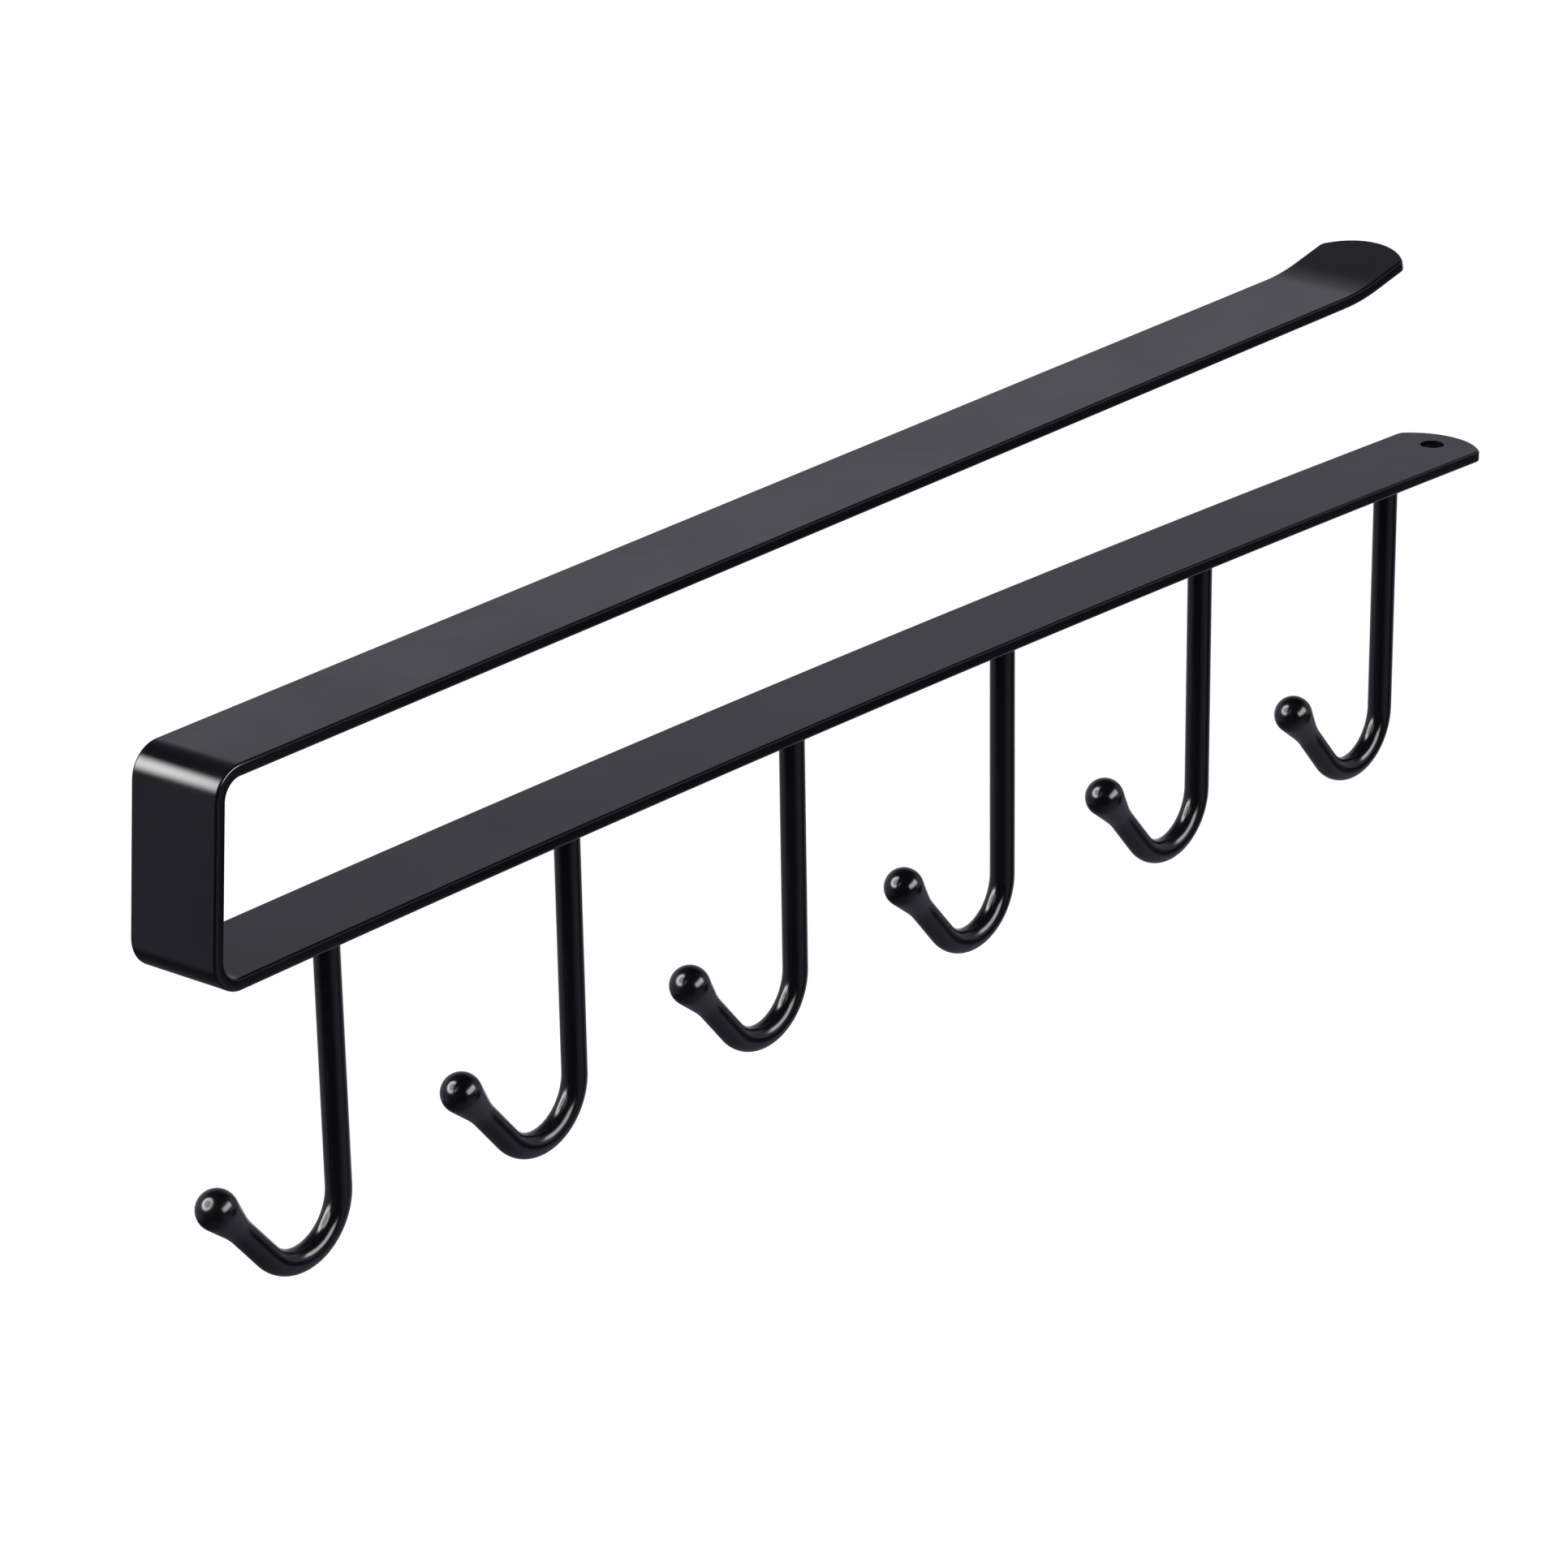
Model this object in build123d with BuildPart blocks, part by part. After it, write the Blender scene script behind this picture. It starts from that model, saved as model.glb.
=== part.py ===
from build123d import *
import os
from math import acos, asin, atan2, cos, degrees, hypot, radians, tan

# Under-shelf mug hook rack: one flat steel strip folded into a long sideways U that slides
# onto a shelf, with a row of bent wire hooks welded square to the underside of its lower arm.
#
# Millimetres and degrees. The origin is the inner corner where the shelf's top front edge comes
# home: z = 0 on the underside of the upper arm, x = 0 where the web's inner face would meet it,
# midway across the strip. +X runs along the arms to the open end, and +Z is up.

# Flat bar
strip_width = 14.5
strip_thickness = 1.7
edge_round = 0.35
edge_limit = 0.45  # largest edge rounding, as a share of the thickness

# Folds: both have one inside radius, and the gap is measured at the web
arm_gap = 25.7
bend_radius = 2.8
web_lean = 5.1  # web from the vertical, its lower end outwards
arm_flare = 1.1  # chord of the lower arm below level
arm_crown = 1.45  # rise of the lower arm above its chord, where the welds have drawn it

# Upper arm, flat from the web's inner face to the start of its turned-up lip
upper_arm_length = 227.9
lip_radius = 35.0
lip_angle = 11.6
lip_length = 10.0

# Lower arm, from the web's inner face to its tip
lower_arm_length = 266.9

# Tongue-shaped ends of the strip, and the screw hole in the lower one
end_radius = 9.5
end_corner = 1.5
hole_diameter = 3.5
hole_to_tip = 5.2

# Hooks: evenly spaced along the lower arm between the first, measured from the web's inner face,
# and the last, measured from the tip; the drop and the bend radius are those of the centreline
hook_count = 6
first_hook = 25.2
last_hook_to_tip = 16.7
wire_diameter = 3.5
hook_drop = 43.6
hook_bend_radius = 7.6
tip_angle = 48.5  # tip above level
tip_length = 12.5  # from the bend to the ball's centre
ball_diameter = 5.6
neck_length = 5.2  # from the ball's centre to where the cone meets the wire
weld_leg = 0.7

# Turns of the folding line: the web leans in over the shelf, and the lower arm leaves the fold
# at the slope that brings its bowed length down to the flare angle.
crown_radius = lower_arm_length**2 / (8 * arm_crown) + arm_crown / 2
crown_slope = degrees(asin(lower_arm_length / 2 / crown_radius))
upper_turn = 90 - web_lean
lower_turn = 90 + web_lean - arm_flare + crown_slope
upper_setback = bend_radius * tan(radians(upper_turn / 2))
lower_setback = bend_radius * tan(radians(lower_turn / 2))
web_length = arm_gap / cos(radians(web_lean))
web_run = web_length - upper_setback - lower_setback
bowed_length = lower_arm_length - lower_setback
bowed_turn = degrees(bowed_length / crown_radius)

# Spacing of the hooks
hook_pitch = (lower_arm_length - first_hook - last_hook_to_tip) / (hook_count - 1)

# Tongue ends, wire and ball
crest_angle = degrees(asin((strip_width / 2 - end_corner) / (end_radius - end_corner)))
tongue_depth = end_radius - (end_radius - end_corner) * cos(radians(crest_angle))
rounded_edge = min(edge_round, edge_limit * strip_thickness)
wire_radius = wire_diameter / 2
ball_radius = ball_diameter / 2


def section_plane(edge, share, depth=0.0):
    """Plane at a share of an edge of the folding line, a depth below it: x along the edge, y up."""
    along = Plane.XZ.from_local_coords(edge % share)
    upright = Plane(Plane.XZ.from_local_coords(edge @ share), x_dir=along, z_dir=Plane.XZ.z_dir)
    return Plane(upright.from_local_coords((0, -depth)), x_dir=along, z_dir=Plane.XZ.z_dir)


def tongue_offcut(tip):
    """What is cut from an end of the strip to leave a rounded tongue, crest on the tip plane."""
    side = strip_width / 2
    with BuildSketch(Plane(tip.origin, x_dir=tip.x_dir, z_dir=tip.y_dir)) as offcut:
        with BuildLine():
            near_corner = JernArc((-tongue_depth, -side), (1, 0), end_corner, 90 - crest_angle)
            crest = JernArc(near_corner @ 1, near_corner % 1, end_radius, 2 * crest_angle)
            far_corner = JernArc(crest @ 1, crest % 1, end_corner, 90 - crest_angle)
            Polyline(
                far_corner @ 1,
                (-tongue_depth, strip_width),
                (tongue_depth, strip_width),
                (tongue_depth, -strip_width),
                (-tongue_depth, -strip_width),
                near_corner @ 0,
            )
        make_face()
    return offcut.sketch


# Folded strip
with BuildPart() as strip:
    with BuildSketch(Plane.XZ):
        with BuildLine():
            lip_start = (upper_arm_length, 0)
            lip_bend = JernArc(lip_start, (1, 0), lip_radius + strip_thickness, lip_angle)
            lip = Line(lip_bend @ 1, lip_bend @ 1 + lip_bend % 1 * lip_length)
            upper_arm = Line((upper_setback, 0), lip_start)
            upper_fold = JernArc(upper_arm @ 0, (-1, 0), bend_radius, upper_turn)
            web = Line(upper_fold @ 1, upper_fold @ 1 + upper_fold % 1 * web_run)
            lower_fold = JernArc(web @ 1, web % 1, bend_radius, lower_turn)
            lower_arm = JernArc(lower_fold @ 1, lower_fold % 1, crown_radius, -bowed_turn)
            offset(amount=strip_thickness, side=Side.LEFT)
        make_face()
    extrude(amount=strip_width / 2, both=True)
    for end in (lip, lower_arm):
        offcut = tongue_offcut(section_plane(end, 1))
        extrude(offcut, amount=2 * strip_thickness, both=True, mode=Mode.SUBTRACT)
    fillet(strip.edges().filter_by(Axis.Y, reverse=True), rounded_edge)
    hole_seat = section_plane(lower_arm, 1 - hole_to_tip / bowed_length)
    with Locations(Plane(hole_seat.origin, x_dir=hole_seat.x_dir, z_dir=hole_seat.y_dir)):
        Hole(hole_diameter / 2)
strip.part.label = "strip"


def build_hook(seat):
    """One wire hook on a seat plane: x along the arm, y up out of its underside, z across the strip."""
    stem_length = hook_drop - hook_bend_radius
    with BuildPart() as hook:
        with BuildLine(seat) as centreline:
            stem = Line((0, 0), (0, -stem_length))
            bend = JernArc(stem @ 1, stem % 1, hook_bend_radius, -90 - tip_angle)
            leg = Line(bend @ 1, bend @ 1 + bend % 1 * tip_length)
        with BuildSketch(Plane(stem @ 0, z_dir=stem % 0)):
            Circle(wire_radius)
        sweep(path=centreline.wire())
        # Ball end, drawn down to the wire by a cone that leaves the ball at a tangent
        shoulder = (-neck_length, wire_radius)
        shoulder_angle = atan2(wire_radius, -neck_length)
        tangent_angle = shoulder_angle - acos(ball_radius / hypot(neck_length, wire_radius))
        with BuildSketch(Plane(leg @ 1, x_dir=leg % 1, z_dir=seat.z_dir)):
            with BuildLine():
                ball = CenterArc((0, 0), ball_radius, 0, degrees(tangent_angle))
                Polyline(ball @ 1, shoulder, (-neck_length, 0), ball @ 0)
            make_face()
        revolve(axis=Axis(leg @ 1, leg % 1))
        # Weld round the top of the stem, with two equal legs
        with BuildSketch(seat):
            with BuildLine():
                toe = (wire_radius + weld_leg, 0)
                root = (wire_radius, -weld_leg)
                Polyline((0, 0), toe, root, (0, -weld_leg), close=True)
            make_face()
        revolve(axis=Axis(stem @ 0, stem % 0))
    return hook.part


# Hooks, square to the lower arm's underside and pointing back towards the fold
os.makedirs("parts", exist_ok=True)
export_step(strip.part, "parts/strip.step")
for index in range(hook_count):
    station = first_hook + index * hook_pitch - lower_setback
    hook = build_hook(section_plane(lower_arm, station / bowed_length, depth=strip_thickness))
    hook.label = f"hook_{index + 1}"
    export_step(hook, f"parts/{hook.label}.step")
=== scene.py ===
from collections import namedtuple
from math import acos, asin, atan2, ceil, cos, hypot, pi, radians, sin, tan

import bmesh
import bpy
from bpy.props import FloatProperty, FloatVectorProperty, IntProperty, PointerProperty
from mathutils import Euler, Matrix, Vector


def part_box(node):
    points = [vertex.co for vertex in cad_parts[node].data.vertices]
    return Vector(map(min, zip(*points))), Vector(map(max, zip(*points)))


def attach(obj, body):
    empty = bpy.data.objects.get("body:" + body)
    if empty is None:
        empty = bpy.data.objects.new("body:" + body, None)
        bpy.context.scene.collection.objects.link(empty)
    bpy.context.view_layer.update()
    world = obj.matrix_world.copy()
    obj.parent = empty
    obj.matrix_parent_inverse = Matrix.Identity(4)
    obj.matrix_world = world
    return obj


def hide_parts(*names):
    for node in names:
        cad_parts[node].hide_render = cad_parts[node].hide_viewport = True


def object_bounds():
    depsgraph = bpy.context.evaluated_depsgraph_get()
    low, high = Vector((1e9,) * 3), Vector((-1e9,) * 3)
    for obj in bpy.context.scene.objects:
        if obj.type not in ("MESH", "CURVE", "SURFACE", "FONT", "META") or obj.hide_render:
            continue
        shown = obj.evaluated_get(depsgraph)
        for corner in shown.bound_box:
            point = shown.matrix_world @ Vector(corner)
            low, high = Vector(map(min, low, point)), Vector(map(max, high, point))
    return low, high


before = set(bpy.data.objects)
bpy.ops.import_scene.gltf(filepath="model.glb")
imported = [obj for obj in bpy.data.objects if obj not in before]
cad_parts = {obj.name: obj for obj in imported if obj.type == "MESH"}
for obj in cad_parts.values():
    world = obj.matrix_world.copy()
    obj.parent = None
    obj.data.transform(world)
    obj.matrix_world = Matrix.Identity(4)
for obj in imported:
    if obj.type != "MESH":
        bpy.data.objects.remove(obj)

bl_info = {
    "name": "Mug hook rack",
    "version": (1, 0, 0),
    "blender": (4, 5, 0),
    "location": "View3D > Sidebar > Hook rack",
    "description": "Builds an under-shelf rack: a folded steel strip and a row of ball-ended wire hooks",
    "category": "Object",
}

CAD_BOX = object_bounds()
STRIP_LOW, STRIP_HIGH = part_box("strip")
HOOK_NODES = sorted(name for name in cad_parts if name.startswith("hook_"))
SUPPORT = 0.00006  # width of the narrow faces that keep the flats flat beside a rounding
BEND_STEP = radians(3)  # turn between two rows of points in a fold or a bend
LIP_ROWS = 12  # rows of points in the wide bend of the lip
FLAT_ROWS = 0.006  # widest gap between rows on the flats
FOLD_MARGIN = 0.0004  # from a fold to the first row on the flat beside it
TONGUE_END = 0.010  # end of the blank that is filled round its hole, without rows
HOLE_POINTS = 48
RIM_POINTS = 96  # round the floor and the softbox


# Sizes and colours

def size(name, description, value):
    """A length that a user may change."""
    return FloatProperty(name=name, description=description, default=value, min=0.0, precision=5,
                         subtype="DISTANCE", unit="LENGTH")


def turn(name, description, degrees_value):
    """An angle that a user may change, given in degrees."""
    return FloatProperty(name=name, description=description, default=radians(degrees_value),
                         subtype="ANGLE", unit="ROTATION")


def level(name, description, value, most=1.0):
    """A plain number between nothing and its most."""
    return FloatProperty(name=name, description=description, default=value, min=0.0, max=most)


def colour(name, description, value):
    """A linear colour."""
    return FloatVectorProperty(name=name, description=description, default=value, min=0.0, max=1.0,
                               size=3, subtype="COLOR")


class StripSizes(bpy.types.PropertyGroup):
    """The folded flat bar that slides onto the shelf."""

    width: size("Width", "Width of the flat bar", STRIP_HIGH.y - STRIP_LOW.y)
    thickness: size("Thickness", "Thickness of the flat bar", 0.0017)
    edge_round: size("Edge rounding", "Rounding along the bar's edges", 0.00035)
    arm_gap: size("Arm gap", "Gap between the arms at the web", 0.0257)
    bend_radius: size("Bend radius", "Inside radius of both folds", 0.0028)
    web_lean: turn("Web lean", "Web from the vertical, lower end outwards", 5.1)
    arm_flare: turn("Arm flare", "Chord of the lower arm below level", 1.1)
    arm_crown: size("Arm crown", "Rise of the lower arm above its chord", 0.00145)
    upper_arm: size("Upper arm", "Web's inner face to the start of the lip", 0.2279)
    lip_radius: size("Lip radius", "Inside radius of the lip's bend", 0.035)
    lip_angle: turn("Lip angle", "Lip above level", 11.6)
    lip_length: size("Lip length", "Straight length of the lip", 0.010)
    lower_arm: size("Lower arm", "Web's inner face to the lower tip", 0.2669)
    end_radius: size("End radius", "Radius across the crest of each end", 0.0095)
    end_corner: size("End corner", "Radius of the corners of each end", 0.0015)
    hole_diameter: size("Hole", "Diameter of the screw hole", 0.0035)
    hole_to_tip: size("Hole to tip", "Centre of the screw hole to the lower tip", 0.0052)
    hole_round: size("Hole rounding", "Rounding that the coat leaves at the hole", 0.00012)


class HookSizes(bpy.types.PropertyGroup):
    """The wire hooks under the lower arm."""

    count: IntProperty(name="Hooks", description="Number of hooks", default=len(HOOK_NODES), min=2)
    first: size("First hook", "Web's inner face to the first hook", 0.0252)
    last_to_tip: size("Last hook", "Last hook to the lower tip", 0.0167)
    wire: size("Wire", "Diameter of the wire", 0.0035)
    drop: size("Drop", "Underside of the arm to the centreline's lowest point", 0.0436)
    bend_radius: size("Bend radius", "Radius of the bend's centreline", 0.0076)
    tip_angle: turn("Tip angle", "Tip above level", 48.5)
    tip_length: size("Tip length", "End of the bend to the ball's centre", 0.0125)
    ball: size("Ball", "Diameter of the ball end", 0.0056)
    neck: size("Neck", "Ball's centre to where the neck meets the wire", 0.0052)
    neck_ease: size("Neck easing", "Length over which the neck eases into the wire", 0.0012)
    weld: size("Weld", "Leg of the weld round the stem", 0.0007)


class CoatLook(bpy.types.PropertyGroup):
    """The black coat on the strip and the hooks."""

    black: colour("Black", "Colour of the coat", (0.0042, 0.0042, 0.0055))
    thin: colour("Thin coat", "Colour where the coat lies thinner", (0.0080, 0.0080, 0.0100))
    roughness: level("Roughness", "Roughness of the coat", 0.17)
    cloud: level("Cloudiness", "How much the roughness wanders", 0.07)
    peel: size("Peel", "Width of the coat's fine ripples", 0.0011)
    ripple: size("Ripple", "Height of the coat's fine ripples", 0.0000012)


class StageLook(bpy.types.PropertyGroup):
    """Floor, lamps and cards of the stage."""

    floor: colour("Floor", "Colour of the floor", (0.8, 0.8, 0.8))
    floor_drop: size("Floor drop", "Lowest hook to the floor", 0.36)
    sun: level("Sun", "Strength of the soft sun", 2.0, 10.0)
    floor_lift: level("Floor lift", "White that is added where the floor is looked at", 0.55)
    softbox: level("Softbox", "Brightness of the round softbox in reflections", 15.0, 100.0)
    side_light: level("Side light", "Brightness of the wide light that the hooks mirror", 8.5, 100.0)
    fold_light: level("Fold light", "Brightness of the light that the upper fold mirrors", 13.5, 100.0)


# Folding line

Fold = namedtuple("Fold", "start reach radius")
Folding = namedtuple("Folding", "lip upper lower crown lip_tip low_tip arc_centre slope setback")


def folding(strip):
    """The folds of the flat blank, measured along its inner face, and the arc of the lower arm."""
    crown_radius = strip.lower_arm**2 / (8 * strip.arm_crown) + strip.arm_crown / 2
    slope = asin(strip.lower_arm / 2 / crown_radius) - strip.arm_flare
    upper_turn = pi / 2 - strip.web_lean
    lower_turn = pi / 2 + strip.web_lean + slope
    upper_setback = strip.bend_radius * tan(upper_turn / 2)
    setback = strip.bend_radius * tan(lower_turn / 2)
    web_run = strip.arm_gap / cos(strip.web_lean) - upper_setback - setback
    bowed = strip.lower_arm - setback
    lip_bend = strip.lip_radius + strip.thickness
    lip = Fold(strip.upper_arm, lip_bend * strip.lip_angle, lip_bend)
    upper = Fold(upper_setback, -strip.bend_radius * upper_turn, -strip.bend_radius)
    lower = Fold(upper.start + upper.reach - web_run, -strip.bend_radius * lower_turn, -strip.bend_radius)
    crown = Fold(lower.start + lower.reach, -bowed, crown_radius)
    # Where the lower arm's arc has its centre, found by walking the folding line
    heading = Vector((-cos(upper_turn), 0, -sin(upper_turn)))
    upper_centre = Vector((upper_setback, 0, -strip.bend_radius))
    web_end = upper_centre + strip.bend_radius * Vector((heading.z, 0, -heading.x)) + web_run * heading
    lower_centre = web_end + strip.bend_radius * Vector((-heading.z, 0, heading.x))
    fold_to_crown = (strip.bend_radius + crown_radius) * Vector((sin(slope), 0, -cos(slope)))
    return Folding(
        lip, upper, lower, crown, lip.start + lip.reach + strip.lip_length, crown.start - bowed,
        lower_centre + fold_to_crown, slope, setback,
    )


# Node helpers

def wired(tree, kind, inputs, **settings):
    """Adds a node with its settings, links or sets its inputs, and returns it."""
    made = tree.nodes.new(kind)
    for name, value in settings.items():
        setattr(made, name, value)
    for key, value in inputs.items():
        if isinstance(value, bpy.types.NodeSocket):
            tree.links.new(value, made.inputs[key])
        else:
            made.inputs[key].default_value = value
    return made


def reckon(tree, operation, *values):
    """One step of arithmetic in a node tree."""
    return wired(tree, "ShaderNodeMath", dict(enumerate(values)), operation=operation).outputs[0]


def vector(tree, x=0.0, y=0.0, z=0.0):
    """A vector put together from its parts in a node tree."""
    return wired(tree, "ShaderNodeCombineXYZ", {"X": x, "Y": y, "Z": z}).outputs[0]


def combine(tree, operation, *values):
    """One step of vector arithmetic in a node tree; a distance or a dot product comes out as a number."""
    made = wired(tree, "ShaderNodeVectorMath", dict(enumerate(values)), operation=operation)
    return made.outputs["Value" if operation in ("DISTANCE", "DOT_PRODUCT") else "Vector"]


def parts(tree, value):
    """The named parts of a vector in a node tree."""
    return wired(tree, "ShaderNodeSeparateXYZ", {0: value}).outputs


def ranged(tree, value, low, high, at_low=0.0, at_high=1.0, kind="LINEAR"):
    """A value carried over from one range to another, and kept within it."""
    limits = {"Value": value, "From Min": low, "From Max": high, "To Min": at_low, "To Max": at_high}
    return wired(tree, "ShaderNodeMapRange", limits, interpolation_type=kind).outputs[0]


def noise(tree, place, scale, detail, roughness=0.5):
    """Noise at a place, between nothing and one."""
    inputs = {"Vector": place, "Scale": scale, "Detail": detail, "Roughness": roughness}
    return wired(tree, "ShaderNodeTexNoise", inputs).outputs["Fac"]


def object_place(tree):
    """Where a point of the surface lies, in its object's own coordinates."""
    return tree.nodes.new("ShaderNodeTexCoord").outputs["Object"]


def new_tree(name, kind, given, made):
    """A node group with named sockets; returns the tree, its inputs and its output node."""
    tree = bpy.data.node_groups.new(name, kind)
    for label, socket in given:
        tree.interface.new_socket(label, in_out="INPUT", socket_type="NodeSocket" + socket)
    for label, socket in made:
        tree.interface.new_socket(label, in_out="OUTPUT", socket_type="NodeSocket" + socket)
    return tree, tree.nodes.new("NodeGroupInput").outputs, tree.nodes.new("NodeGroupOutput")


# Forming trees

def press_fold():
    """Bends a blank round an axis across it, as a press brake does, with what lies beyond."""
    if "Press fold" in bpy.data.node_groups:
        return bpy.data.node_groups["Press fold"]
    tree, given, result = new_tree(
        "Press fold", "GeometryNodeTree",
        [("Geometry", "Geometry"), ("Start", "Float"), ("Reach", "Float"), ("Radius", "Float")],
        [("Geometry", "Geometry")],
    )
    station = wired(tree, "GeometryNodeInputNamedAttribute", {"Name": "station"}, data_type="FLOAT")
    along = reckon(tree, "SUBTRACT", station.outputs["Attribute"], given["Start"])
    limits = {"Value": along, "Min": 0.0, "Max": given["Reach"]}
    bent = wired(tree, "ShaderNodeClamp", limits, clamp_type="RANGE").outputs[0]
    place = tree.nodes.new("GeometryNodeInputPosition").outputs[0]
    drawn_in = combine(tree, "SUBTRACT", place, vector(tree, x=bent))
    turned = reckon(tree, "MULTIPLY", reckon(tree, "DIVIDE", bent, given["Radius"]), -1.0)
    centre = vector(tree, x=given["Start"], z=given["Radius"])
    rolling = {"Vector": drawn_in, "Center": centre, "Angle": turned}
    rolled = wired(tree, "ShaderNodeVectorRotate", rolling, rotation_type="Y_AXIS").outputs[0]
    moved = wired(tree, "GeometryNodeSetPosition", {"Geometry": given["Geometry"], "Position": rolled})
    tree.links.new(moved.outputs[0], result.inputs[0])
    return tree


def finished(tree, geometry, material, result):
    """Ends a tree: instances made real, shaded smooth and given their material."""
    real = wired(tree, "GeometryNodeRealizeInstances", {"Geometry": geometry})
    plain = wired(tree, "GeometryNodeRemoveAttribute", {"Geometry": real.outputs[0], "Name": "station"})
    smooth = wired(tree, "GeometryNodeSetShadeSmooth", {"Geometry": plain.outputs[0]}).outputs[0]
    coated = wired(tree, "GeometryNodeSetMaterial", {"Geometry": smooth, "Material": material})
    tree.links.new(coated.outputs[0], result.inputs[0])


def folded_strip_tree():
    """The flat blank's four bends, each named by where it starts, how far it reaches and its radius."""
    bends = ("Crown", "Lower fold", "Upper fold", "Lip")
    sizes = [(f"{bend} {part}", "Float") for bend in bends for part in Fold._fields]
    tree, given, result = new_tree(
        "Folded strip", "GeometryNodeTree",
        [("Geometry", "Geometry"), ("Material", "Material")] + sizes, [("Geometry", "Geometry")],
    )
    shape = given["Geometry"]
    for bend in bends:
        press = tree.nodes.new("GeometryNodeGroup")
        press.node_tree = press_fold()
        tree.links.new(shape, press.inputs["Geometry"])
        for part in Fold._fields:
            tree.links.new(given[f"{bend} {part}"], press.inputs[part.title()])
        shape = press.outputs["Geometry"]
    finished(tree, shape, given["Material"], result)
    return tree


def wire_hooks_tree():
    """Bends a straight ball-ended wire into a hook and sets a row of them along the lower arm's arc."""
    tree, given, result = new_tree(
        "Wire hooks", "GeometryNodeTree",
        [
            ("Geometry", "Geometry"), ("Material", "Material"), ("Bend start", "Float"),
            ("Bend reach", "Float"), ("Bend radius", "Float"), ("Count", "Int"), ("Arc centre", "Vector"),
            ("Arc radius", "Float"), ("First angle", "Float"), ("Angle step", "Float"),
        ],
        [("Geometry", "Geometry")],
    )
    hook = tree.nodes.new("GeometryNodeGroup")
    hook.node_tree = press_fold()
    tree.links.new(given["Geometry"], hook.inputs["Geometry"])
    for part in Fold._fields:
        tree.links.new(given[f"Bend {part}"], hook.inputs[part.title()])
    downwards = Euler((0, pi / 2, 0))
    hung = wired(tree, "GeometryNodeTransform", {"Geometry": hook.outputs[0], "Rotation": downwards})
    index = tree.nodes.new("GeometryNodeInputIndex").outputs[0]
    further = reckon(tree, "MULTIPLY", index, given["Angle step"])
    angle = reckon(tree, "ADD", given["First angle"], further)
    reach = vector(tree, x=reckon(tree, "SINE", angle), z=reckon(tree, "COSINE", angle))
    scaling = {0: reach, "Scale": given["Arc radius"]}
    spoke = wired(tree, "ShaderNodeVectorMath", scaling, operation="SCALE").outputs[0]
    seat = combine(tree, "ADD", spoke, given["Arc centre"])
    seats = wired(tree, "GeometryNodePoints", {"Count": given["Count"], "Position": seat})
    lean = wired(tree, "FunctionNodeEulerToRotation", {"Euler": vector(tree, y=angle)})
    row = wired(
        tree, "GeometryNodeInstanceOnPoints",
        {"Points": seats.outputs[0], "Instance": hung.outputs[0], "Rotation": lean.outputs[0]},
    )
    finished(tree, row.outputs[0], given["Material"], result)
    return tree


def formed(name, blank, tree, values):
    """Runs a blank mesh through a tree and returns the result as a plain mesh object at the origin."""
    holder = bpy.data.objects.new(name + "_blank", blank)
    bpy.context.scene.collection.objects.link(holder)
    modifier = holder.modifiers.new("Form", "NODES")
    modifier.node_group = tree
    for item in tree.interface.items_tree:
        if item.in_out == "INPUT" and item.name in values:
            modifier[item.identifier] = values[item.name]
    graph = bpy.context.evaluated_depsgraph_get()
    shaped = holder.evaluated_get(graph)
    mesh = bpy.data.meshes.new_from_object(shaped, preserve_all_data_layers=True, depsgraph=graph)
    holder.modifiers.remove(modifier)
    bpy.data.objects.remove(holder)
    mesh.name = name
    piece = bpy.data.objects.new(name, mesh)
    bpy.context.scene.collection.objects.link(piece)
    if not mesh.polygons:
        raise RuntimeError(f"{name} came out empty")
    return piece


# Blanks

def spread(start, stop, step):
    """Even places from start to stop, no further apart than step."""
    count = max(1, ceil(abs(stop - start) / step - 1e-9))
    return [start + (stop - start) * index / count for index in range(count + 1)]


def blank_stations(line):
    """Places of the rows across the blank: close together in the folds, wide apart on the flats."""
    marks = [line.low_tip + TONGUE_END]
    for fold in (line.lower, line.upper, line.lip):
        low, high = sorted((fold.start, fold.start + fold.reach))
        rows = LIP_ROWS if fold is line.lip else ceil(abs(fold.reach / fold.radius) / BEND_STEP)
        marks += spread(marks[-1], low - FOLD_MARGIN, FLAT_ROWS)[1:]
        marks += spread(low, high, abs(fold.reach / rows))
        marks.append(high + FOLD_MARGIN)
    return marks


def end_outline(strip, tip, way, corner_steps=8, crest_steps=28):
    """Points and outward directions round a tongue-shaped end, anticlockwise seen from above."""
    crest = asin((strip.width / 2 - strip.end_corner) / (strip.end_radius - strip.end_corner))
    depth = strip.end_radius - (strip.end_radius - strip.end_corner) * cos(crest)
    side = strip.width / 2 - strip.end_corner
    arcs = (
        ((depth, -side), strip.end_corner, -pi / 2, -crest, corner_steps),
        ((strip.end_radius, 0.0), strip.end_radius, -crest, crest, crest_steps),
        ((depth, side), strip.end_corner, crest, pi / 2, corner_steps),
    )
    points = []
    for (back, across), radius, start, stop, steps in arcs:
        for angle in spread(start, stop, (stop - start) / steps)[1 if points else 0:]:
            out = Vector((cos(angle), sin(angle)))
            points.append((Vector((-back, across)) + radius * out, out))
    return [(Vector((tip, 0)) + way * point, way * out) for point, out in points]


def rounding(radius, steps=6):
    """Inset and depth from the edge of a flat, round a quarter circle."""
    angles = spread(0, pi / 2, pi / 2 / steps)
    return [(radius * (1 - sin(angle)), radius * (1 - cos(angle))) for angle in angles]


def edge_section(radius, thickness):
    """Inset and height from the top flat, round the edge, to the bottom flat."""
    upper = [(radius + SUPPORT, 0.0)] + rounding(radius)
    return [(inset, thickness - depth) for inset, depth in upper] + upper[::-1]


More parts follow.
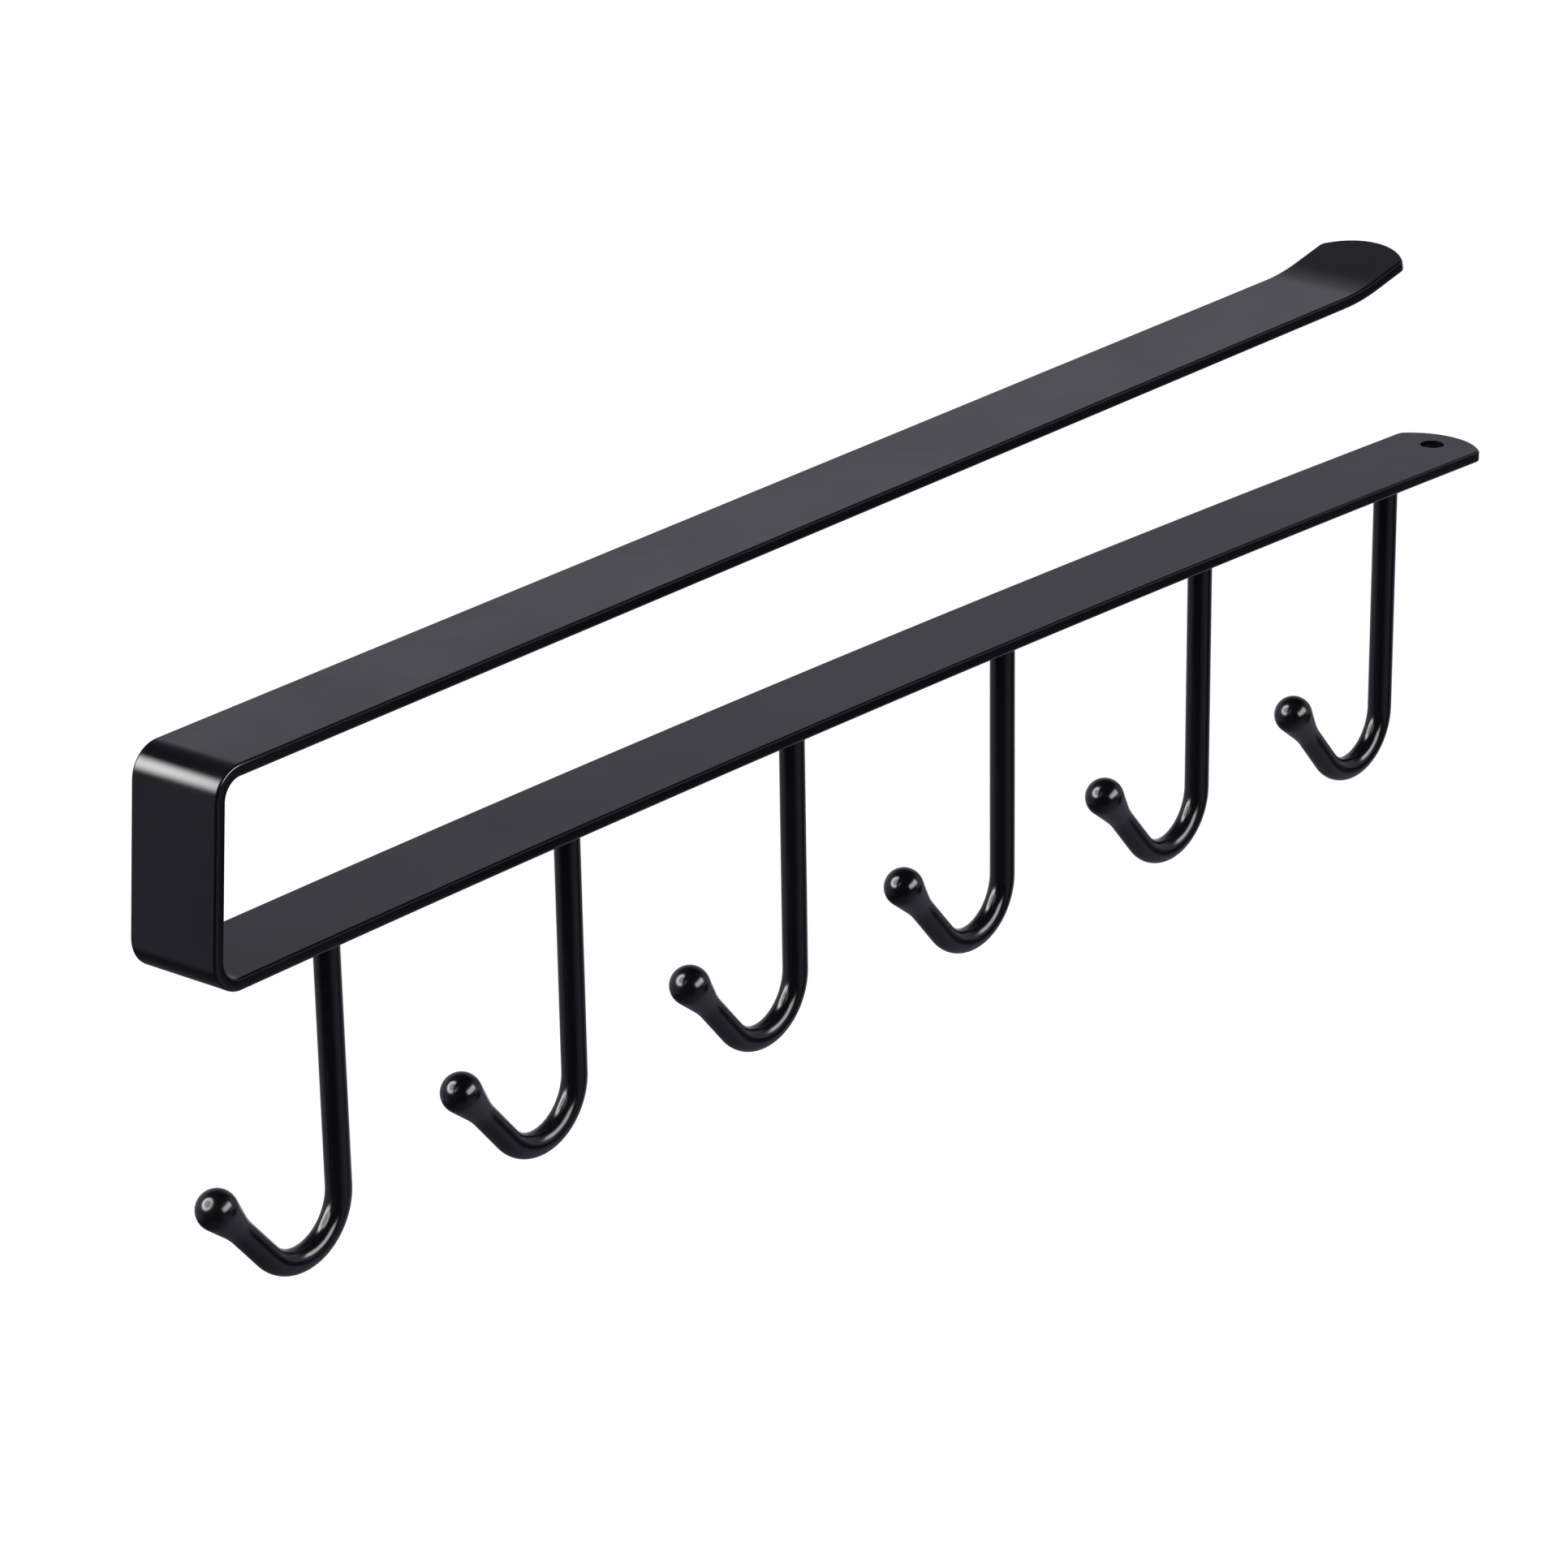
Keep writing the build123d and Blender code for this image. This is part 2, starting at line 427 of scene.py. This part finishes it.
def skirt(work, loops):
    """Walls between closed loops of points, which go anticlockwise and downwards."""
    for above, below in zip(loops, loops[1:]):
        for index in range(len(above)):
            after = (index + 1) % len(above)
            work.faces.new((above[index], below[index], below[after], above[after]))


def strip_blank(strip, line):
    """The flat bar before folding: tongue ends, screw hole and rounded edges, inner face at z = 0."""
    across = 6
    stations = blank_stations(line)
    half = strip.width / 2
    right = [(Vector((x, -half)), Vector((0, -1))) for x in stations]
    left = [(Vector((x, half)), Vector((0, 1))) for x in reversed(stations)]
    lip_tongue = end_outline(strip, line.lip_tip, 1)
    low_tongue = end_outline(strip, line.low_tip, -1)
    outline = right + lip_tongue + left + low_tongue
    rows = len(stations)
    first_left = rows + len(lip_tongue)
    work = bmesh.new()
    loops = []
    for inset, height in edge_section(strip.edge_round, strip.thickness):
        loops.append([work.verts.new((*(point - inset * out), height)) for point, out in outline])
    skirt(work, loops)
    hole_centre = Vector((line.low_tip + strip.hole_to_tip, 0))
    hole_angles = spread(0, -2 * pi, 2 * pi / HOLE_POINTS)[:-1]
    rings = []
    for inset, height in edge_section(strip.hole_round, strip.thickness):
        radius = strip.hole_diameter / 2 + inset
        rim = [hole_centre + radius * Vector((cos(angle), sin(angle))) for angle in hole_angles]
        rings.append([work.verts.new((*point, height)) for point in rim])
    skirt(work, rings)
    for loop, ring in ((loops[0], rings[0]), (loops[-1], rings[-1])):
        lines = []
        for row in range(rows):
            near, far = loop[row], loop[first_left + rows - 1 - row]
            inner = [work.verts.new(near.co.lerp(far.co, step / across)) for step in range(1, across)]
            lines.append([near, *inner, far])
        for line_a, line_b in zip(lines, lines[1:]):
            for step in range(across):
                work.faces.new((line_a[step], line_b[step], line_b[step + 1], line_a[step + 1]))
        # Tongue ends, one of them round the hole
        lip_end = loop[rows - 1:first_left + 1]
        low_end = loop[first_left + rows - 1:] + loop[:1]
        for end, cross, openings in ((lip_end, lines[-1], []), (low_end, lines[0], [ring])):
            chains = [end, cross] + [opening + opening[:1] for opening in openings]
            edges = []
            for chain in chains:
                for pair in zip(chain, chain[1:]):
                    edges.append(work.edges.get(pair) or work.edges.new(pair))
            bmesh.ops.triangle_fill(work, use_beauty=True, edges=edges)
    return closed(work, "strip_blank")


def wire_profile(hook):
    """Distances along the straight wire with its radius there, from the weld to the ball, and the pole."""
    stem_rows, leg_rows, neck_rows = 0.005, 0.003, 0.0006
    weld_turn, ball_turn = pi / 12, radians(6)
    wire, ball = hook.wire / 2, hook.ball / 2
    stem = hook.drop - hook.bend_radius
    bend_end = stem + hook.bend_radius * (pi / 2 + hook.tip_angle)
    centre = bend_end + hook.tip_length
    shoulder = centre - hook.neck
    leave = atan2(wire, -hook.neck) - acos(ball / hypot(hook.neck, wire))
    taper = tan(leave - pi / 2)
    ease = hook.neck_ease
    profile = []
    for a in spread(0, pi / 2, weld_turn):
        profile.append((hook.weld * (1 - cos(a)), wire + hook.weld * (1 - sin(a))))
    profile += [(x, wire) for x in spread(hook.weld, stem, stem_rows)[1:]]
    profile += [(x, wire) for x in spread(stem, bend_end, hook.bend_radius * BEND_STEP)[1:]]
    profile += [(x, wire) for x in spread(bend_end, shoulder - ease, leg_rows)[1:]]
    for x in spread(shoulder - ease, shoulder + ease, ease / 4)[1:]:
        profile.append((x, wire + taper * (x - shoulder + ease) ** 2 / (4 * ease)))
    for x in spread(shoulder + ease, centre + ball * cos(leave), neck_rows)[1:]:
        profile.append((x, wire + taper * (x - shoulder)))
    profile += [(centre + ball * cos(a), ball * sin(a)) for a in spread(leave, 0, ball_turn)[1:-1]]
    return profile, centre + ball


def wire_blank(hook, around=40):
    """A straight hook wire along +x, turned round its centreline: weld at one end, ball at the other."""
    profile, pole = wire_profile(hook)
    work = bmesh.new()
    angles = spread(0, 2 * pi, 2 * pi / around)[:-1]
    loops = []
    for x, radius in profile:
        loops.append([work.verts.new((x, radius * cos(a), radius * sin(a))) for a in angles])
    skirt(work, loops)
    work.faces.new(loops[0])
    tip = work.verts.new((pole, 0, 0))
    last = loops[-1]
    for index in range(around):
        work.faces.new((last[index], last[(index + 1) % around], tip))
    return closed(work, "wire_blank")


def closed(work, name):
    """Turns a closed bmesh into a mesh, faces outwards, that keeps each point's place along the blank."""
    bmesh.ops.remove_doubles(work, verts=work.verts, dist=1e-7)
    bmesh.ops.recalc_face_normals(work, faces=work.faces)
    loose = [edge for edge in work.edges if len(edge.link_faces) != 2]
    if loose:
        raise RuntimeError(f"{name} has {len(loose)} open edges")
    mesh = bpy.data.meshes.new(name)
    work.to_mesh(mesh)
    work.free()
    station = mesh.attributes.new("station", "FLOAT", "POINT")
    station.data.foreach_set("value", [vertex.co.x for vertex in mesh.vertices])
    return mesh


# Finishes

def coat_finish():
    """Colour, roughness and fine ripple of a baked coat, on object coordinates."""
    if "Baked coat" in bpy.data.node_groups:
        return bpy.data.node_groups["Baked coat"]
    tree, given, result = new_tree(
        "Baked coat", "ShaderNodeTree",
        [("Black", "Color"), ("Thin coat", "Color"), ("Roughness", "Float"), ("Cloudiness", "Float"),
         ("Peel", "Float"), ("Stretch", "Vector")],
        [("Colour", "Color"), ("Roughness", "Float"), ("Ripple", "Float")],
    )
    clouds, specks = 60.0, 2600.0  # in a metre
    place = object_place(tree)
    drawn = combine(tree, "MULTIPLY", place, given["Stretch"])
    peel = noise(tree, drawn, reckon(tree, "DIVIDE", 1.0, given["Peel"]), 2.0, 0.45)
    patch = ranged(tree, noise(tree, place, clouds, 3.0, 0.55), 0.3, 0.7)
    speck = ranged(tree, noise(tree, place, specks, 1.0), 0.62, 0.8)
    shade = reckon(tree, "MAXIMUM", reckon(tree, "MULTIPLY", patch, 0.5), speck)
    tone = wired(tree, "ShaderNodeMix", {"Factor": shade}, data_type="RGBA")
    for label, value in (("A", given["Black"]), ("B", given["Thin coat"])):
        tree.links.new(value, next(s for s in tone.inputs if s.name == label and s.type == "RGBA"))
    wander = reckon(tree, "MULTIPLY", reckon(tree, "SUBTRACT", patch, 0.5), given["Cloudiness"])
    tree.links.new(next(s for s in tone.outputs if s.type == "RGBA"), result.inputs["Colour"])
    tree.links.new(reckon(tree, "ADD", given["Roughness"], wander), result.inputs["Roughness"])
    tree.links.new(peel, result.inputs["Ripple"])
    return tree


def coat_material(name, look, stretch):
    """A black coat; the stretch draws its ripples out along the piece."""
    material = bpy.data.materials.new(name)
    material.use_nodes = True
    tree = material.node_tree
    shader = next(node for node in tree.nodes if node.type == "BSDF_PRINCIPLED")
    finish = tree.nodes.new("ShaderNodeGroup")
    finish.node_tree = coat_finish()
    values = {
        "Black": (*look.black, 1), "Thin coat": (*look.thin, 1), "Roughness": look.roughness,
        "Cloudiness": look.cloud, "Peel": look.peel, "Stretch": stretch,
    }
    for label, value in values.items():
        finish.inputs[label].default_value = value
    bump = {"Strength": 1.0, "Distance": look.ripple, "Height": finish.outputs["Ripple"]}
    ripple = wired(tree, "ShaderNodeBump", bump)
    tree.links.new(finish.outputs["Colour"], shader.inputs["Base Color"])
    tree.links.new(finish.outputs["Roughness"], shader.inputs["Roughness"])
    tree.links.new(ripple.outputs["Normal"], shader.inputs["Normal"])
    shader.inputs["IOR"].default_value = 1.5
    material.diffuse_color = (*look.black, 1)
    return material


def empty_material(name):
    """A material without nodes; returns it with its tree."""
    material = bpy.data.materials.new(name)
    material.use_nodes = True
    material.node_tree.nodes.clear()
    return material, material.node_tree


def show(tree, surface):
    """Ends a material's tree with what its surface shows."""
    shown = tree.nodes.new("ShaderNodeOutputMaterial")
    tree.links.new(surface, shown.inputs["Surface"])


def glow(name, brightness=0.0, tint=(1.0, 1.0, 1.0), veil=False):
    """A material that only shines, or shines as a veil; returns it with its tree and emission node."""
    material, tree = empty_material(name)
    lamp = wired(tree, "ShaderNodeEmission", {"Color": (*tint, 1), "Strength": brightness})
    surface = lamp.outputs[0]
    if veil:
        clear = tree.nodes.new("ShaderNodeBsdfTransparent")
        surface = wired(tree, "ShaderNodeAddShader", {0: surface, 1: clear.outputs[0]}).outputs[0]
    show(tree, surface)
    return material, tree, lamp


def looked_at(tree):
    """One for what looks at a surface, straight or by a mirror or glass, and nothing for other light."""
    path = tree.nodes.new("ShaderNodeLightPath").outputs
    seen = reckon(tree, "MAXIMUM", path["Is Camera Ray"], path["Is Glossy Ray"])
    return reckon(tree, "MAXIMUM", seen, path["Is Transmission Ray"])


def fading(tree, value, full, none):
    """One up to the full value, then falling smoothly to nothing."""
    return ranged(tree, value, full, none, 1.0, 0.0, "SMOOTHSTEP")


def shades(tree, value, stops):
    """A colour ramp from a list of positions and their greys or colours."""
    ramp = wired(tree, "ShaderNodeValToRGB", {"Fac": value})
    marks = ramp.color_ramp.elements
    while len(marks) < len(stops):
        marks.new(0.5)
    for mark, (position, shade) in zip(marks, stops):
        mark.position = position
        mark.color = (*shade, 1) if isinstance(shade, tuple) else (shade, shade, shade, 1)
    return ramp.outputs[0]


# Operators

class RACK_OT_strip(bpy.types.Operator):
    """Cut, fold and coat the steel strip"""

    bl_idname = "rack.strip"
    bl_label = "Folded strip"

    def execute(self, context):
        strip = context.scene.rack_strip
        line = folding(strip)
        values = {"Material": coat_material("strip_coat", context.scene.rack_coat, (1.0, 1.0, 1.0))}
        folds = {"Crown": line.crown, "Lower fold": line.lower, "Upper fold": line.upper, "Lip": line.lip}
        for label, fold in folds.items():
            for part, value in fold._asdict().items():
                values[f"{label} {part}"] = value
        piece = formed("folded_strip", strip_blank(strip, line), folded_strip_tree(), values)
        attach(piece, "root")
        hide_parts("strip")
        return {"FINISHED"}


class RACK_OT_hooks(bpy.types.Operator):
    """Bend the ball-ended wires and set them under the lower arm"""

    bl_idname = "rack.hooks"
    bl_label = "Wire hooks"

    def execute(self, context):
        strip, hook = context.scene.rack_strip, context.scene.rack_hooks
        line = folding(strip)
        pitch = (strip.lower_arm - hook.first - hook.last_to_tip) / (hook.count - 1)
        values = {
            "Material": coat_material("wire_coat", context.scene.rack_coat, (1.0, 1.0, 0.6)),
            "Bend start": hook.drop - hook.bend_radius,
            "Bend reach": hook.bend_radius * (pi / 2 + hook.tip_angle),
            "Bend radius": -hook.bend_radius,
            "Count": hook.count,
            "Arc centre": line.arc_centre,
            "Arc radius": line.crown.radius - strip.thickness,
            "First angle": (hook.first - line.setback) / line.crown.radius - line.slope,
            "Angle step": pitch / line.crown.radius,
        }
        piece = formed("wire_hooks", wire_blank(hook), wire_hooks_tree(), values)
        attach(piece, "root")
        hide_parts(*HOOK_NODES)
        return {"FINISHED"}


# Stage

def staged(name, mesh, material, camera=False):
    """A piece of the stage, seen by the camera or else only in reflections."""
    mesh.materials.append(material)
    made = bpy.data.objects.new(name, mesh)
    bpy.context.scene.collection.objects.link(made)
    if not camera:
        for ray in ("camera", "diffuse", "shadow", "transmission", "volume_scatter"):
            setattr(made, "visible_" + ray, False)
    return made


def card(name, corners, material, camera=False):
    """A flat sheet of the stage."""
    mesh = bpy.data.meshes.new(name)
    mesh.from_pydata(corners, [], [list(range(len(corners)))])
    return staged(name, mesh, material, camera)


def upright_card(name, material, start, end, low, high):
    """An upright sheet of the stage between two places on the ground."""
    card(name, [(*start, low), (*end, low), (*end, high), (*start, high)], material)


def shine_on(light, piece):
    """Lets a light of the stage show in one piece of the rack only."""
    receivers = bpy.data.collections.new(f"{light.name}_receivers")
    if piece in bpy.data.objects:
        receivers.objects.link(bpy.data.objects[piece])
    light.light_linking.receiver_collection = receivers


def toward(azimuth, elevation):
    """A direction, from its angle round from +x and its angle above level, in degrees."""
    a, e = radians(azimuth), radians(elevation)
    return Vector((cos(a) * cos(e), sin(a) * cos(e), sin(e)))


class RACK_OT_stage(bpy.types.Operator):
    """Set the floor, lamps, cards and camera"""

    bl_idname = "rack.stage"
    bl_label = "Stage"

    def execute(self, context):
        look, scene = context.scene.rack_stage, context.scene
        middle = (CAD_BOX[0] + CAD_BOX[1]) / 2
        floor_height = CAD_BOX[0].z - look.floor_drop
        self.floor(look, middle, floor_height)
        self.cloth(middle, floor_height)
        self.dark_cards(floor_height)
        self.gauze()
        self.dome(middle)
        self.softbox(look, middle)
        self.bar_light(
            "side_light", look.side_light, "wire_hooks", start=middle, away=1.4 * toward(-76.0, 24.0),
            roll=10.0, along=(25, 32), across=(6, 16),
        )
        # Two small lights close to the upper fold: one for the fold itself, one for its near edge
        fold = Vector()
        self.bar_light(
            "fold_light", look.fold_light, "folded_strip", start=fold, away=0.05 * toward(129.5, 28.5),
            roll=-58.7, along=(1, 23.5), across=(7, 15), carry=(0.058, 0.070),
        )
        edge = Vector((0, STRIP_LOW.y, 0))
        self.bar_light(
            "edge_light", 2 * look.side_light, "folded_strip", start=edge, away=0.022 * toward(-72.0, 26.0),
            roll=-6.0, along=(22, 30), across=(5, 11), carry=(0.032, 0.040),
        )
        self.sun(look, scene)
        self.world(scene)
        self.camera(scene)
        scene.view_settings.view_transform = "Standard"
        return {"FINISHED"}

    def floor(self, look, middle, height):
        """A wide floor that takes the shadow, made up to white for what looks at it; clear from below."""
        material, tree = empty_material("white_floor")
        paper = wired(tree, "ShaderNodeBsdfDiffuse", {"Color": (*look.floor, 1)})
        made_up = reckon(tree, "MULTIPLY", looked_at(tree), look.floor_lift)
        lift = wired(tree, "ShaderNodeEmission", {"Strength": made_up})
        white = wired(tree, "ShaderNodeAddShader", {0: paper.outputs[0], 1: lift.outputs[0]})
        under = tree.nodes.new("ShaderNodeNewGeometry").outputs["Backfacing"]
        clear = tree.nodes.new("ShaderNodeBsdfTransparent")
        sides = {0: under, 1: white.outputs[0], 2: clear.outputs[0]}
        show(tree, wired(tree, "ShaderNodeMixShader", sides).outputs[0])
        reach = 30.0
        angles = spread(0, 2 * pi, 2 * pi / RIM_POINTS)[:-1]
        rim = [(middle.x + reach * cos(a), middle.y + reach * sin(a), height) for a in angles]
        card("floor", rim, material, camera=True)

    def cloth(self, middle, floor_height):
        """A grey cloth under the rack, only for reflections: one shade far out, another straight below."""
        # Greys far out, by the angle round from +x in degrees
        greys = (
            (-180, 0.02), (-150, 0.02), (-125, 0.03), (-105, 0.18), (-92, 0.24), (-75, 0.27), (-62, 0.24),
            (-48, 0.02), (-32, 0.05), (-15, 0.25), (0, 0.35), (20, 0.6), (40, 0.8), (60, 0.6), (85, 0.35),
            (110, 0.29), (130, 0.28), (142, 0.25), (150, 0.2), (160, 0.04), (180, 0.02),
        )
        darkest, below, more_right, less_behind = 0.02, 0.17, 0.16, -0.12
        cloth, tree, lamp = glow("grey_cloth", tint=(0.93, 0.91, 1.18))
        ray = combine(tree, "SUBTRACT", object_place(tree), tuple(middle))
        way = parts(tree, combine(tree, "NORMALIZE", ray))
        angle_round = reckon(tree, "ARCTAN2", way["Y"], way["X"])
        turn_share = reckon(tree, "MULTIPLY_ADD", angle_round, 1 / (2 * pi), 0.5)
        far = shades(tree, turn_share, [((angle + 180) / 360, grey) for angle, grey in greys])
        near = reckon(tree, "MULTIPLY_ADD", way["X"], more_right, below)
        near = reckon(tree, "MULTIPLY_ADD", way["Y"], less_behind, near)
        steep = fading(tree, way["Z"], -0.65, -0.38)
        near_share = reckon(tree, "MULTIPLY", near, steep)
        far_share = reckon(tree, "MULTIPLY", far, reckon(tree, "SUBTRACT", 1.0, steep))
        grey = reckon(tree, "ADD", near_share, far_share)
        tree.links.new(reckon(tree, "MAXIMUM", grey, darkest), lamp.inputs["Strength"])
        reach, height = 9.0, floor_height + 0.01
        corners = ((-reach, -reach), (reach, -reach), (reach, reach), (-reach, reach))
        card("grey_cloth", [(middle.x + x, middle.y + y, height) for x, y in corners], cloth)

    def dark_cards(self, floor_height):
        """Black cards in front and on the left; the left one pales towards the back."""
        far_left, left, right = -9.0, -2.5, 1.5
        near, back, top = -2.5, 3.0, 7.0
        front = glow("dark_front", 0.01)[0]
        upright_card("dark_front", front, (far_left, near), (right, near), floor_height, top)
        side, tree, lamp = glow("dark_left")
        pale = ranged(tree, parts(tree, object_place(tree))["Y"], 0.6, 1.8, at_low=0.02, at_high=0.25)
        tree.links.new(pale, lamp.inputs["Strength"])
        upright_card("dark_left", side, (left, back), (left, near), floor_height, top)

    def gauze(self):
        """A low grey gauze behind the rack, which takes down what the lower arm mirrors."""
        left, right, behind = 0.085, 0.45, 0.1
        low, high = 0.006, 0.044
        gauze, tree = empty_material("gauze")
        show(tree, wired(tree, "ShaderNodeBsdfTransparent", {"Color": (0.72, 0.72, 0.74, 1)}).outputs[0])
        upright_card("gauze", gauze, (left, behind), (right, behind), low, high)

    def softbox(self, look, middle):
        """A round softbox on the left with a dim hub, brighter towards the back, for the hooks only."""
        # Brightness by the share of the radius
        rings = (
            (0.0, 0.7), (0.10, 0.55), (0.20, 0.32), (0.32, 0.36), (0.45, 0.85), (0.55, 1.0), (0.66, 1.0),
            (0.73, 0.5), (0.79, 0.2), (0.86, 0.05), (0.93, 0.0),
        )
        front_share, back_share = 0.35, 1.2
        reach, away = 1.6, toward(155.0, 39.0)
        radius = reach * tan(radians(36))
        centre = middle + away * reach
        box, tree, lamp = glow("softbox", veil=True)
        place = object_place(tree)
        out = reckon(tree, "DIVIDE", combine(tree, "DISTANCE", place, tuple(centre)), radius)
        tree.links.new(shades(tree, out, rings), lamp.inputs["Color"])
        front, back = centre.y - radius, centre.y + radius
        lean = ranged(tree, parts(tree, place)["Y"], front, back, front_share, back_share)
        tree.links.new(reckon(tree, "MULTIPLY", lean, look.softbox), lamp.inputs["Strength"])
        turned = away.to_track_quat("Z", "Y")
        angles = spread(0, 2 * pi, 2 * pi / RIM_POINTS)[:-1]
        rim = [centre + turned @ Vector((radius * cos(a), radius * sin(a), 0)) for a in angles]
        shine_on(card("softbox", rim, box), "wire_hooks")

    def bar_light(self, name, brightness, piece, start, away, roll, along, across, carry=None):
        """A soft bar of light that one piece mirrors, set away from a starting place.

        Along and across are the angles, seen from there, at which the bar starts to fade and at which
        it ends. Carry is the same for the distance from the piece, so that only what is near mirrors it.
        """
        reach = away.length
        centre = start + away
        level_axis = Vector((0, 0, 1)).cross(away).normalized()
        long_axis = Matrix.Rotation(radians(roll), 3, away) @ level_axis
        short_axis = away.normalized().cross(long_axis)
        light, tree, lamp = glow(name, veil=True)
        off = combine(tree, "SUBTRACT", object_place(tree), tuple(centre))
        shine = brightness
        if carry:
            length = tree.nodes.new("ShaderNodeLightPath").outputs["Ray Length"]
            shine = reckon(tree, "MULTIPLY", fading(tree, length, *carry), shine)
        halves = []
        for axis, (full, none) in ((long_axis, along), (short_axis, across)):
            distance = reckon(tree, "ABSOLUTE", combine(tree, "DOT_PRODUCT", off, tuple(axis)))
            end = reach * tan(radians(none))
            fade = fading(tree, distance, reach * tan(radians(full)), end)
            shine = reckon(tree, "MULTIPLY", fade, shine)
            halves.append(end * axis)
        tree.links.new(shine, lamp.inputs["Strength"])
        wide, high = halves
        corners = [centre - wide - high, centre + wide - high, centre + wide + high, centre - wide + high]
        shine_on(card(name, corners, light), piece)

    def sun(self, look, scene):
        """A soft sun, which gives the floor its shadow and leaves the reflections to the cards."""
        sun = bpy.data.lights.new("soft_sun", "SUN")
        sun.energy = look.sun
        sun.angle = radians(40)
        lamp = bpy.data.objects.new("soft_sun", sun)
        lamp.rotation_euler = toward(146.5, 40.5).to_track_quat("Z", "Y").to_euler()
        lamp.visible_glossy = False
        scene.collection.objects.link(lamp)

    def dome(self, middle):
        """A dome of greys, palest some 20 degrees up and dark overhead, seen only in reflections."""
        greys, tree, lamp = glow("grey_dome", 1.0)
        rise = parts(tree, combine(tree, "NORMALIZE", object_place(tree)))["Z"]
        # Greys by the height on a dome of radius one
        stops = (
            (0.0, (0.42, 0.42, 0.48)), (0.26, (0.36, 0.36, 0.41)), (0.32, (0.44, 0.44, 0.50)),
            (0.365, (0.58, 0.58, 0.66)), (0.40, (0.35, 0.35, 0.40)), (0.50, (0.26, 0.26, 0.30)),
            (0.60, (0.11, 0.11, 0.13)), (0.70, 0.06), (0.80, 0.03), (1.0, 0.03),
        )
        tree.links.new(shades(tree, rise, stops), lamp.inputs["Color"])
        work = bmesh.new()
        bmesh.ops.create_icosphere(work, subdivisions=4, radius=14.0)
        mesh = bpy.data.meshes.new("grey_dome")
        work.to_mesh(mesh)
        work.free()
        staged("grey_dome", mesh, greys).location = middle

    def world(self, scene):
        """White for what looks at it, and a soft dim light for the rest."""
        soft_light = 0.2
        world = bpy.data.worlds.new("studio")
        world.use_nodes = True
        tree = world.node_tree
        sky = next(node for node in tree.nodes if node.type == "BACKGROUND")
        sky.inputs["Color"].default_value = (1, 1, 1, 1)
        strength = reckon(tree, "MULTIPLY_ADD", looked_at(tree), 1.0 - soft_light, soft_light)
        tree.links.new(strength, sky.inputs["Strength"])
        scene.world = world

    def camera(self, scene):
        """The photograph's view, with a long lens."""
        photo_width, focal_length = 1932, 8969.76  # both in the photograph's pixels
        lens = bpy.data.cameras.new("camera")
        lens.sensor_fit = "HORIZONTAL"
        lens.sensor_width = 36.0
        lens.lens = focal_length * lens.sensor_width / photo_width
        right = Vector((0.645038, -0.763747, -0.024836))
        down = Vector((-0.295307, -0.219168, -0.929924))
        ahead = Vector((0.704783, 0.607171, -0.366911))
        place = Vector((-0.573025, -0.589306, 0.319597))
        eye = bpy.data.objects.new("camera", lens)
        turned = Matrix((right, -down, -ahead)).transposed().to_4x4()
        eye.matrix_world = Matrix.Translation(place) @ turned
        scene.collection.objects.link(eye)
        scene.camera = eye


class RACK_PT_sidebar(bpy.types.Panel):
    """Sizes, finish and steps of the hook rack"""

    bl_idname = "RACK_PT_sidebar"
    bl_label = "Hook rack"
    bl_space_type = "VIEW_3D"
    bl_region_type = "UI"
    bl_category = "Hook rack"

    def draw(self, context):
        layout = self.layout
        for settings, label in SETTINGS:
            box = layout.box()
            box.label(text=label)
            group = getattr(context.scene, settings)
            for name in group.__annotations__:
                box.prop(group, name)
        for operator in OPERATORS:
            layout.operator(operator.bl_idname)


SETTINGS = (
    ("rack_strip", "Strip"),
    ("rack_hooks", "Hooks"),
    ("rack_coat", "Coat"),
    ("rack_stage", "Stage"),
)
GROUPS = (StripSizes, HookSizes, CoatLook, StageLook)
OPERATORS = (RACK_OT_strip, RACK_OT_hooks, RACK_OT_stage)
CLASSES = (*GROUPS, *OPERATORS, RACK_PT_sidebar)


def register():
    for made in CLASSES:
        bpy.utils.register_class(made)
    for (settings, label), group in zip(SETTINGS, GROUPS):
        setattr(bpy.types.Scene, settings, PointerProperty(type=group, name=label))


def unregister():
    for settings, label in SETTINGS:
        delattr(bpy.types.Scene, settings)
    for made in reversed(CLASSES):
        bpy.utils.unregister_class(made)


def main():
    register()
    bpy.ops.rack.strip()
    bpy.ops.rack.hooks()
    bpy.ops.rack.stage()
    bpy.context.view_layer.update()


if __name__ == "__main__":
    main()
